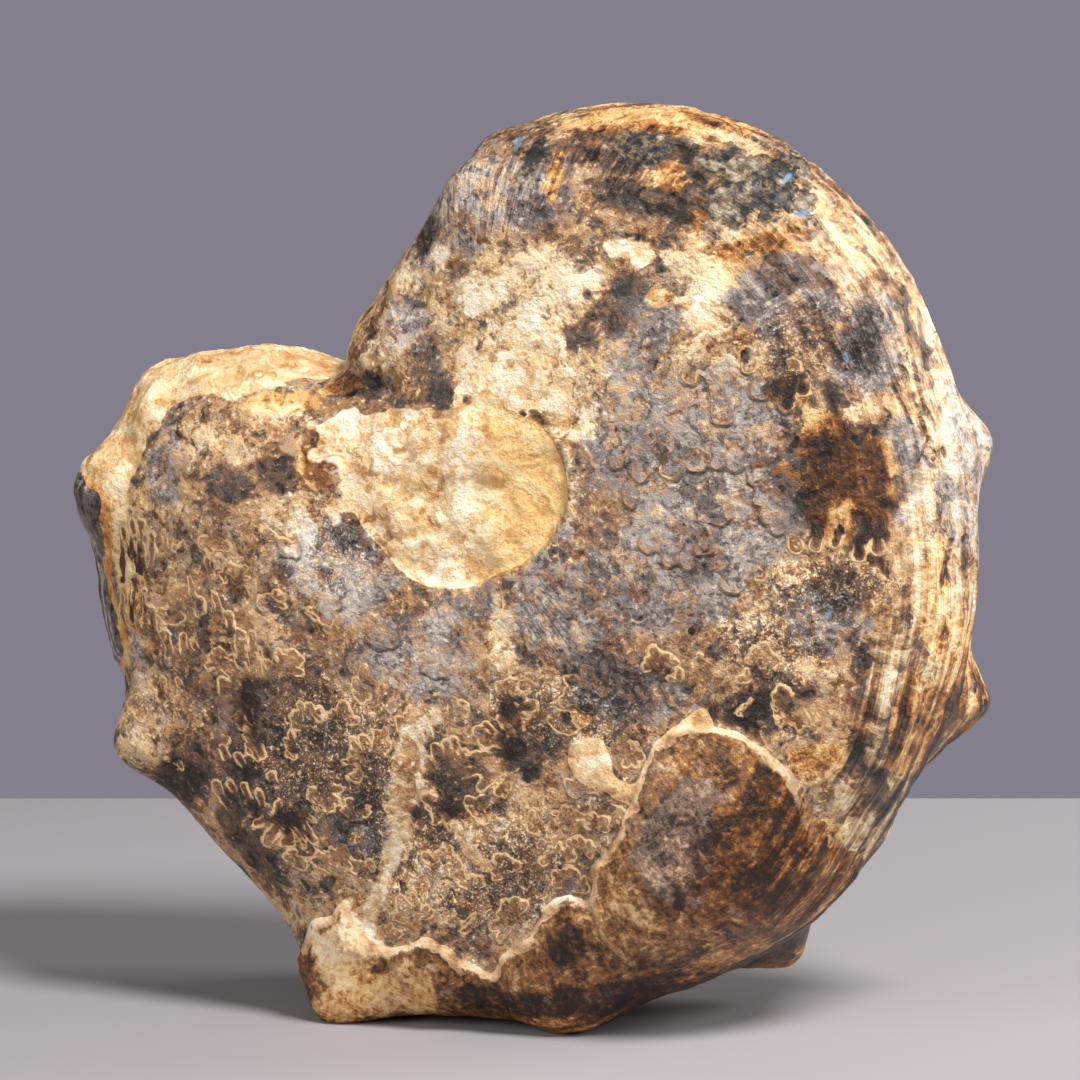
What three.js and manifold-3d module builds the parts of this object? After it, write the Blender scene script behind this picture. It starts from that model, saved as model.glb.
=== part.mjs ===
// An ammonite fossil: one piece of stone, coiled in a plane, with a filled umbilicus on both flanks, blunt
// tubercles along its shoulders, a broken end where the last whorl stops, and small worn flats that it
// stands on.
//
// Millimetres. +Z is up, the coiling axis lies along Y, and the better preserved flank faces -Y. The origin
// is on the ground under the middle of the fossil. Angles are in degrees, from +X towards +Z, about the
// middle of the outline.
import * as THREE from "three";
import { mergeVertices } from "three/addons/utils/BufferGeometryUtils.js";
import Module from "manifold-3d";

// Driving dimensions.
const HALF_THICKNESS = 26; // coiling plane to the flank, at the middle of the outline
const TAPER = { x: -0.05, z: -0.05 }; // how the half thickness grows per millimetre, towards the broken end
const MEAN_RADIUS = 74; // middle of the outline to the keel, on average
const FOOT_DEPTH = 1.6; // how much of the lowest points is worn away to the flats
const GRID_STEPS = 28; // squares along each side of the cube that the skin is laid out on

// The outline in the coiling plane: [angle, radius]. Seen from -Y it widens clockwise, from the notch at 127
// degrees, where the last whorl meets the one before it, round to the broken end at 158 degrees.
const OUTLINE = [
  [0, 79], [16, 82.5], [32, 87.5], [46, 91.5], [58, 93.5], [70, 92.5], [80, 89.5], [88, 86], [94, 81],
  [101, 72.5], [109, 64.5], [118, 57.5], [127, 55.5], [134, 64], [141, 73], [149, 80], [158, 79.5],
  [168, 77], [180, 74.5], [196, 69], [212, 68], [228, 66], [244, 69.5], [256, 70.4], [266, 69], [280, 67],
  [296, 69], [312, 71], [328, 72.5], [344, 75],
];

// Half of the section, from the flank's middle to the keel: [share of the radius, of the half thickness].
const SECTION = [
  [0, 1], [0.3, 0.99], [0.52, 0.965], [0.7, 0.905], [0.82, 0.82], [0.9, 0.69], [0.955, 0.5], [0.985, 0.27],
  [1, 0],
];

// The umbilicus, an oval filled to a shallow dish on each flank, placed from the middle of the outline.
const UMBILICUS = { x: -4.5, z: 23.5, across: 21, up: 17, lean: -20, depth: 3.4 };

// Tubercles: side, angle, share of the way along the section from the flank's middle to the keel, height
// and half width.
const NEAR = -1;
const FAR = 1;
const TUBERCLE_LEAN = 0.55;
const TUBERCLES = [
  { side: FAR, at: 22, along: 0.83, height: 6.5, width: 8 },
  { side: FAR, at: -10, along: 0.84, height: 8.5, width: 8 },
  { side: FAR, at: -31, along: 0.82, height: 4, width: 7 },
  { side: FAR, at: -54, along: 0.83, height: 9.5, width: 8 },
  { side: FAR, at: -77, along: 0.84, height: 6.5, width: 9 },
  { side: FAR, at: -112, along: 0.83, height: 9.2, width: 8.5 },
  { side: FAR, at: -160, along: 0.8, height: 6, width: 8 },
  { side: FAR, at: 48, along: 0.78, height: 4, width: 9 },
  { side: NEAR, at: -14, along: 0.76, height: 2, width: 9 },
  { side: NEAR, at: -78, along: 0.84, height: 6.5, width: 9 },
  { side: NEAR, at: -112, along: 0.83, height: 9.2, width: 8.5 },
  { side: NEAR, at: -161, along: 0.8, height: 7, width: 8 },
  { side: NEAR, at: 163, along: 0.8, height: 5.5, width: 8 },
  { side: NEAR, at: 94, along: 0.78, height: 3, width: 7 },
];

// Swells and hollows of the flanks: side, place from the middle of the outline, height outwards and half
// width.
const SWELLS = [
  { side: NEAR, x: 38, z: -39, height: 5, width: 17 },
  { side: NEAR, x: 58, z: 20, height: -2.4, width: 12 },
  { side: NEAR, x: -26, z: 40, height: -3.5, width: 10 },
  { side: NEAR, x: -10, z: 52, height: -3, width: 14 },
  { side: NEAR, x: -42, z: 22, height: 3, width: 14 },
  { side: NEAR, x: 20, z: 12, height: 2, width: 18 },
  { side: FAR, x: -27, z: 37, height: -4, width: 10 },
  { side: FAR, x: -12, z: 54, height: -2.5, width: 14 },
  { side: FAR, x: 24, z: -30, height: 3, width: 18 },
  { side: FAR, x: -44, z: 16, height: 2.5, width: 15 },
];

const GROUND_BLOCK = 400; // the block of ground that the flats are cut with

const radians = THREE.MathUtils.degToRad;

// A smooth closed curve through the outline's points, which are repeated for a lap before and a lap after.
const laps = [-360, 0, 360].flatMap((lap) => OUTLINE.map(([at, radius]) => [at + lap, radius]));
const outline = new THREE.CubicInterpolant(
  laps.map(([at]) => at),
  laps.map(([, radius]) => radius),
  1,
);
const outlineRadius = (angle) => outline.evaluate(THREE.MathUtils.euclideanModulo(angle, 360))[0];

const section = new THREE.SplineCurve(
  SECTION.map(([reach, height]) => new THREE.Vector2(reach * MEAN_RADIUS, height * HALF_THICKNESS)),
);

const thicknessAt = (x, z) => HALF_THICKNESS + TAPER.x * x + TAPER.z * z;

// How deep the umbilicus is at a place on the flank.
function umbilicusDepth(x, z) {
  const lean = radians(UMBILICUS.lean);
  const place = new THREE.Vector2(x - UMBILICUS.x, z - UMBILICUS.z);
  place.rotateAround(new THREE.Vector2(), -lean);
  const share = Math.hypot(place.x / UMBILICUS.across, place.y / UMBILICUS.up);
  return UMBILICUS.depth * (1 - THREE.MathUtils.smoothstep(share, 0.62, 1.12));
}

// A point of the plain coil's skin. The grid is round near the flank's middle and takes the outline's shape
// outwards.
function coilPoint(angle, along, side) {
  const place = section.getPointAt(along);
  const reach = place.x / MEAN_RADIUS;
  const height = place.y / HALF_THICKNESS;
  const radius = reach * THREE.MathUtils.lerp(MEAN_RADIUS, outlineRadius(angle), reach);
  const x = radius * Math.cos(radians(angle));
  const z = radius * Math.sin(radians(angle));
  return new THREE.Vector3(x, side * (height * thicknessAt(x, z) - umbilicusDepth(x, z)), z);
}

// Tubercles point outwards along the radius and lean off the coiling plane; swells point off the plane.
const tubercles = TUBERCLES.map(({ side, at, along, height, width }) => {
  const way = new THREE.Vector3(Math.cos(radians(at)), TUBERCLE_LEAN * side, Math.sin(radians(at)));
  return { centre: coilPoint(at, along, side), push: way.setLength(height), width };
});
const swells = SWELLS.map(({ side, x, z, height, width }) => {
  const centre = new THREE.Vector3(x, side * thicknessAt(x, z), z);
  return { centre, push: new THREE.Vector3(0, side * height, 0), width };
});

function raise(point) {
  const moved = point.clone();
  for (const { centre, push, width } of [...tubercles, ...swells])
    moved.addScaledVector(push, Math.exp(-((point.distanceTo(centre) / width) ** 2)));
  return moved;
}

// The skin, laid out on a cube whose two Y faces become the middles of the flanks.
function fossilGeometry() {
  const cube = new THREE.BoxGeometry(2, 2, 2, GRID_STEPS, GRID_STEPS, GRID_STEPS);
  cube.deleteAttribute("normal").deleteAttribute("uv");
  const geometry = mergeVertices(cube);
  const place = geometry.getAttribute("position");
  const way = new THREE.Vector3();
  for (let i = 0; i < place.count; i++) {
    way.fromBufferAttribute(place, i).normalize();
    const angle = THREE.MathUtils.radToDeg(Math.atan2(way.z, way.x));
    const along = Math.acos(Math.abs(way.y)) / (Math.PI / 2);
    const made = raise(coilPoint(angle, along, Math.sign(way.y)));
    place.setXYZ(i, made.x, made.y, made.z);
  }
  return geometry;
}

const wasm = await Module();
wasm.setup();

function toSolid(geometry) {
  return new wasm.Manifold(
    new wasm.Mesh({
      numProp: 3,
      vertProperties: new Float32Array(geometry.getAttribute("position").array),
      triVerts: new Uint32Array(geometry.index.array),
    }),
  );
}

function toGeometry(solid) {
  const mesh = solid.getMesh();
  return new THREE.BufferGeometry()
    .setAttribute("position", new THREE.BufferAttribute(mesh.vertProperties, 3))
    .setIndex(new THREE.BufferAttribute(mesh.triVerts, 1));
}

// The lowest tubercles and the keel between them are worn to one plane.
function wearFeet(geometry) {
  geometry.computeBoundingBox();
  const ground = geometry.boundingBox.min.z + FOOT_DEPTH;
  const block = new THREE.BoxGeometry(GROUND_BLOCK, GROUND_BLOCK, GROUND_BLOCK);
  block.deleteAttribute("normal").deleteAttribute("uv");
  const underground = mergeVertices(block).translate(0, 0, ground - GROUND_BLOCK / 2);
  return toGeometry(toSolid(geometry).subtract(toSolid(underground)));
}

const body = wearFeet(fossilGeometry());
body.computeBoundingBox();
const middle = body.boundingBox.getCenter(new THREE.Vector3());
body.translate(-middle.x, -middle.y, -body.boundingBox.min.z);
body.computeVertexNormals();

const stone = new THREE.MeshStandardMaterial({ color: 0x8a6f58, roughness: 0.55, metalness: 0 });
const ammonite = new THREE.Mesh(body, stone);
ammonite.name = "ammonite";

const part = new THREE.Group();
part.add(ammonite);
export default part;
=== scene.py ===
"""An ammonite fossil and a plain stage for it, laid out as a Blender add-on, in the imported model's frame."""

import math
import random
from typing import NamedTuple

import bmesh
import bpy
import numpy as np
from bpy.props import FloatProperty, FloatVectorProperty, IntProperty, PointerProperty
from mathutils import Matrix, Vector, noise


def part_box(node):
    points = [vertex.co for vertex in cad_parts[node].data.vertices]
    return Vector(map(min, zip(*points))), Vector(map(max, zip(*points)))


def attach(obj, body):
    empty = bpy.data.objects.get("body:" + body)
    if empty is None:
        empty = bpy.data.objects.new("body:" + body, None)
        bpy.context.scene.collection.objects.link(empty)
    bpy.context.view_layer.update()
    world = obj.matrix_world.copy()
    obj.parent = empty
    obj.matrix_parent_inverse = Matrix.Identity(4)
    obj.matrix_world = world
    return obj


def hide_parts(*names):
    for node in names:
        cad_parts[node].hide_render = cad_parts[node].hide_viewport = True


bl_info = {
    "name": "Ammonite Fossil",
    "version": (1, 0, 0),
    "blender": (4, 5, 0),
    "location": "3D View > Sidebar > Ammonite",
    "description": "Makes an ammonite fossil with its sutures, shell and matrix, and a studio stage",
    "category": "Add Mesh",
}

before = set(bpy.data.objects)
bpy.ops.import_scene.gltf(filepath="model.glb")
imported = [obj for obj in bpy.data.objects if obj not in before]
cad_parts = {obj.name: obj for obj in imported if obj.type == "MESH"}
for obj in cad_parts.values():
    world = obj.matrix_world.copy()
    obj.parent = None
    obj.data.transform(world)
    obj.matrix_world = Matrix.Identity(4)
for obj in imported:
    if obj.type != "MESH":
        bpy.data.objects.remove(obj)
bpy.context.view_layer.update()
LOW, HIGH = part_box("ammonite")

MM = 0.001  # the lists below are in millimetres, as the fossil is worked out
NEAR, FAR = -1, 1

# The outline in the coiling plane, as angle and radius about its middle. Seen from -Y it widens clockwise,
# from the notch at 127 degrees round to the broken end at 158 degrees.
OUTLINE = (
    (0, 79), (16, 82.5), (32, 87.5), (46, 91.5), (58, 93.5), (70, 92.5), (80, 89.5), (88, 86), (94, 81),
    (101, 72.5), (109, 64.5), (118, 57.5), (127, 55.5), (134, 64), (141, 73), (149, 80), (158, 79.5),
    (168, 77), (180, 74.5), (196, 69), (212, 68), (228, 66), (244, 69.5), (256, 70.4), (266, 69), (280, 67),
    (296, 69), (312, 71), (328, 72.5), (344, 75),
)
# Half of the section, from the flank's middle to the keel, as shares of the radius and the half thickness.
SECTION = (
    (0, 1), (0.3, 0.99), (0.52, 0.965), (0.7, 0.905), (0.82, 0.82), (0.9, 0.69), (0.955, 0.5),
    (0.985, 0.27), (1, 0),
)
TAPER = (-0.05, -0.05)  # how the half thickness grows along X and Z

# Tubercles: side, angle, share of the way from the flank's middle to the keel, height and half width.
TUBERCLE_LEAN = 0.55
TUBERCLES = (
    (FAR, 22, 0.83, 6.5, 8), (FAR, -10, 0.84, 8.5, 8), (FAR, -31, 0.82, 4, 7), (FAR, -54, 0.83, 9.5, 8),
    (FAR, -77, 0.84, 6.5, 9), (FAR, -112, 0.83, 9.2, 8.5), (FAR, -160, 0.8, 6, 8), (FAR, 48, 0.78, 4, 9),
    (NEAR, -14, 0.76, 2, 9), (NEAR, -78, 0.84, 6.5, 9), (NEAR, -112, 0.83, 9.2, 8.5),
    (NEAR, -161, 0.8, 7, 8), (NEAR, 163, 0.8, 5.5, 8), (NEAR, 94, 0.78, 3, 7),
)
# Swells and hollows of the flanks: side, place from the outline's middle, height outwards and half width.
SWELLS = (
    (NEAR, 38, -39, 5, 17), (NEAR, 58, 20, -2.4, 12), (NEAR, -26, 40, -3.5, 10), (NEAR, -10, 52, -3, 14),
    (NEAR, -42, 22, 3, 14), (NEAR, 20, 12, 2, 18), (FAR, -27, 37, -4, 10), (FAR, -12, 54, -2.5, 14),
    (FAR, 24, -30, 3, 18), (FAR, -44, 16, 2.5, 15),
)
FOOT_DEPTH = 1.6  # how much of the lowest points is worn flat

COIL_AXIS = (-6, 92)  # where the coiling axis crosses the flanks
COIL_SEAM = 137  # the angle of the groove where the last whorl meets the one before it
COIL_SCALE = 55  # the distance from the axis where a pattern that follows the coil has its own size

# Edges of the finishes on the flanks, as places in X and Z in the frame: the matrix in the umbilicus, the
# shell that is left, the crust on the broken end, two plaster-like fillings and a slab of shell at the left.
UMBILICUS = (
    (-28.9, 97.4), (-28.3, 101.2), (-26.6, 103.5), (-22.2, 105.7), (-16.6, 107.2), (-11.3, 106.4),
    (-6.8, 106.2), (-2, 107.3), (2.6, 106.6), (7.1, 104.7), (11, 101), (13.4, 95.8), (13.9, 91.7),
    (12.9, 87.6), (10.3, 83.4), (6.7, 80.4), (2.3, 78.1), (-2.9, 76.1), (-8, 75.7), (-11.6, 76.4),
    (-15.3, 78.8), (-18.1, 81.7), (-20.4, 84.1), (-22.8, 86.6), (-25.1, 90), (-27.3, 93.3),
)
FAR_UMBILICUS = (-5, 91, 20, 15, 12)  # its middle, half width, half height and lean
SHELL = (
    (-36, 6), (-33.5, 14), (-31, 18), (-27.5, 19.5), (-25.3, 22.3), (-23.6, 21.8), (-23, 18.5), (-21, 16.4),
    (-17, 14.6), (-13.5, 15.6), (-10, 17), (-6.5, 15.6), (-3, 12.8), (0.8, 11.3), (2.4, 13.8), (5, 16.4),
    (8.4, 18.3), (9.6, 21.6), (12, 24.2), (15, 25.2), (18.4, 24.9), (19.4, 27.8), (18.6, 30.4), (21.5, 33),
    (24.4, 37.5), (26, 42), (27.4, 46.5), (29.5, 51), (33, 54.2), (37.5, 54.4), (42, 53.6), (46.5, 51.6),
    (50, 48.6), (53.5, 44), (56, 37), (60, 30), (68, 20), (74, 0), (60, -14), (-30, -14),
)
CRUST = (
    (-90, 94), (-73, 92.5), (-69.5, 90), (-67, 86), (-65.4, 90), (-64, 94), (-62, 99), (-58, 104), (-52, 107),
    (-47, 106.5), (-42, 107.8), (-37, 110), (-32, 112.5), (-29, 116), (-29, 124), (-60, 130), (-92, 112),
)
PLASTER = (
    (14.5, 48), (15.9, 51), (20.2, 51.7), (22, 48.3), (23, 45.8), (26, 44.6), (28, 47), (29.5, 51), (27, 43),
    (24.5, 41.6), (21.3, 43), (16.9, 44.6),
)
GABLE = ((30.5, 51.5), (34.4, 55.6), (37.6, 57.4), (39, 53.8), (35, 53))
SLAB = ((-84, 91), (-71.2, 90.5), (-70.6, 84), (-71, 74), (-68.6, 62), (-84, 58))
# Sandy veins, each as its line and half its width.
VEINS = (
    (((-10.5, 54), (-12.5, 48), (-13.5, 41), (-14.6, 34.5)), 2.9),
    (((-14.6, 34.5), (-17.5, 27), (-20, 20)), 1.6),
    (((-5, 36.5), (-2.5, 32.5), (0.5, 29.5)), 1.3),
)
GROOVE = ((-33, 112.5), (-27, 111), (-20, 108.5))  # the deep one, from the notch into the broken end
LIP = ((27, 127), (33, 131.5), (39, 134), (46, 136.5), (52, 137))  # a raised line below the top

# Pale seams across the shell.
SEAMS = (
    ((-24.5, 19), (-26, 13), (-28.5, 8)), ((-17, 13), (-14.5, 8.5), (-14, 4)),
    ((21, 31), (19.6, 25), (21.6, 19), (25, 15)), ((-25, 14), (-20, 13)),
)

# Grooves along the keel's near edge, cut into the relief and darkened in colour as painted shade.
GROOVES = (
    ((66, 125.5), (66.8, 121), (68, 116.5), (69.2, 111), (70.8, 106), (72.6, 101.8)),
    ((67.5, 124.5), (69.3, 118.5), (70.8, 112), (72, 107.5), (73, 104.5)),
    ((65.8, 110), (67.4, 107), (69, 103.5)), ((70.2, 104.5), (71.4, 101)), ((73.4, 99.6), (73.7, 98)),
    ((70.6, 98.5), (72, 96.5)), ((75, 84.5), (74.2, 80), (73.1, 74.5), (72.4, 71.5)),
    ((76.6, 85), (76.8, 78)), ((64, 127.5), (66.8, 123.5)),
)
# Lobes of the sutures that stand alone on the near flank: both ends of each one's middle, and half its width.
FINGERS = (
    # long ones that follow the coil, low on the left
    (-45.6, 35.8, -48.5, 40.5, 1.1), (-43.4, 36.4, -46, 41, 0.9), (-41.6, 36.6, -43.2, 40.6, 1),
    (-38.8, 35.4, -40, 39.6, 0.9), (-45.5, 44, -47, 47, 1), (-42.5, 43, -44, 46, 0.9),
    (-36.6, 40.4, -37.6, 43, 1),
    # along the left edge
    (-57, 61, -57.5, 66, 1), (-53.6, 61.8, -54.6, 66, 1), (-50.4, 62.4, -52, 65, 0.9),
    (-54.4, 55.6, -55.4, 58.5, 0.9), (-60.2, 66, -60.6, 70, 0.9), (-50.2, 68.4, -50.6, 72, 1),
    (-47, 69, -47.6, 73, 0.9), (-52, 72, -52.5, 76, 0.8), (-48.6, 75, -49, 79, 1), (-58, 53, -58.5, 58, 0.9),
    (-55.4, 49, -56, 53, 0.9), (-66.8, 75, -66.6, 84, 0.9), (-64.8, 79, -64.4, 87, 0.8),
    (-62.8, 77, -62.4, 85, 0.9), (-60.8, 75, -60.4, 83, 0.9), (-67.2, 66, -67.4, 72, 0.8),
    (-64.8, 68, -64.6, 75, 0.8), (-62, 66, -62.4, 73, 0.8), (-60.2, 85, -59.8, 90, 0.9),
    (-57.8, 79, -57.6, 84, 0.8), (-43, 62, -43.4, 66.5, 1.1), (-40.8, 62, -41, 66.6, 1),
    (-37, 59.6, -38, 62.4, 1), (-44, 56, -44.4, 60, 1), (-41.4, 52.6, -43, 55.6, 1.1),
    (-46.4, 51, -47, 55, 1), (-44.8, 67, -45.4, 70, 0.9),
    # in the pale grey stone on the right
    (41.6, 100.4, 41.5, 97.6, 1.8), (31, 98, 31.4, 96.6, 2.1), (35.6, 99.4, 35.6, 97, 1.4),
    (38.3, 99.4, 38.4, 97.4, 1.2), (38.4, 94.6, 38.8, 93.2, 1.5), (38.8, 91.2, 38.8, 89, 2.2),
    (36.6, 90, 36.8, 88.6, 1.2), (37.6, 86, 37.2, 83.6, 1.6), (38.8, 107, 38.9, 105, 1.6),
    (37.6, 109.6, 38.2, 108.6, 1.2), (33.6, 112.6, 33.6, 111, 1.4), (36, 113, 36.4, 112, 1.2),
    (46.2, 111.4, 45.4, 109, 1.6), (48, 110.6, 48, 108.8, 1.3), (50.2, 112, 49.8, 107, 1.7),
    (52.4, 111.6, 52.2, 109.6, 1.5), (47, 113, 50, 113, 1.6), (43, 115, 43.6, 113, 1.4),
    (45.4, 98.4, 45.2, 97.2, 1.2), (45.4, 95.6, 45, 94.6, 1.3), (45.8, 92.6, 45.4, 91.6, 1.2),
    (47, 90, 46.6, 88.6, 1.4), (49, 89, 48.6, 86.8, 1.3), (50.8, 86.4, 51, 83.6, 1.3),
    (54.4, 86.4, 54.4, 84, 1.3), (42.2, 80.6, 42, 78, 2), (46.2, 81, 46, 79, 1.3),
    (31.5, 84, 31.4, 81.4, 1.2), (34.2, 82.8, 34.2, 80.6, 1.1), (28, 86, 28, 83.8, 1.2),
    (26, 97.5, 26.2, 95.4, 1.4), (22, 99, 22, 97, 1.2), (24.6, 93, 24.8, 91, 1.2),
    (61.5, 85, 61.4, 82.6, 1.3), (64.4, 86, 64.4, 83.6, 1.1), (58, 86.6, 57.6, 84.6, 1.1),
)
# Fronds of the sutures on the near flank: middle, reach, and the bearing and spread of the lobes in degrees.
FRONDS = (
    (-40, 57, 8, 165, 150), (-35, 60.5, 4, 80, 130), (-40, 50, 5, 215, 130), (-33, 37.5, 5, 250, 150),
    (-35, 36.5, 6.5, 262, 110), (-28, 41, 3.8, 270, 170), (-22, 39, 3, 260, 160), (-19, 46, 6, 135, 170),
    (-31, 52, 4, 110, 160), (-33, 48.5, 3, 190, 130), (-25, 53, 3.4, 80, 150), (-6, 44, 7, 110, 170),
    (-6, 40, 5, 235, 130), (7, 49, 9, 170, 150), (4, 56, 5, 20, 170), (0, 40, 3.8, 250, 160),
    (18, 58, 5.5, 110, 170), (14, 55, 3.2, 230, 150), (25, 49.3, 2.7, 0, 170), (17, 43, 3, 90, 170),
    (22, 42, 2.4, 60, 170), (15, 38, 3, 100, 170), (20, 37, 2.8, 90, 170), (9, 37, 2.6, 200, 170),
    (13, 31, 3.2, 100, 170), (17, 33, 2.6, 60, 170), (4, 28.5, 3.4, 120, 170), (15, 27, 3.6, 90, 170),
    (5, 20, 4.2, 140, 170), (-7, 29, 3.8, 60, 170), (-12, 19, 5, 100, 130), (-17, 16, 3, 100, 150),
    (-26, 27.5, 4.8, 95, 150), (-21, 27, 3.2, 90, 120), (-34, 28, 2.8, 60, 170), (-18, 66.5, 3, 80, 170),
    (-20, 59, 3.4, 190, 170), (-12, 53, 3, 120, 170), (-47, 62, 3.2, 110, 160), (47, 63.5, 4.5, 120, 170),
    (52, 58, 4.5, 220, 170), (34, 60, 3.6, 200, 170), (30, 64, 3, 100, 170), (-44, 76, 3.4, 100, 170),
    (-38, 72, 3, 80, 170),
)

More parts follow.
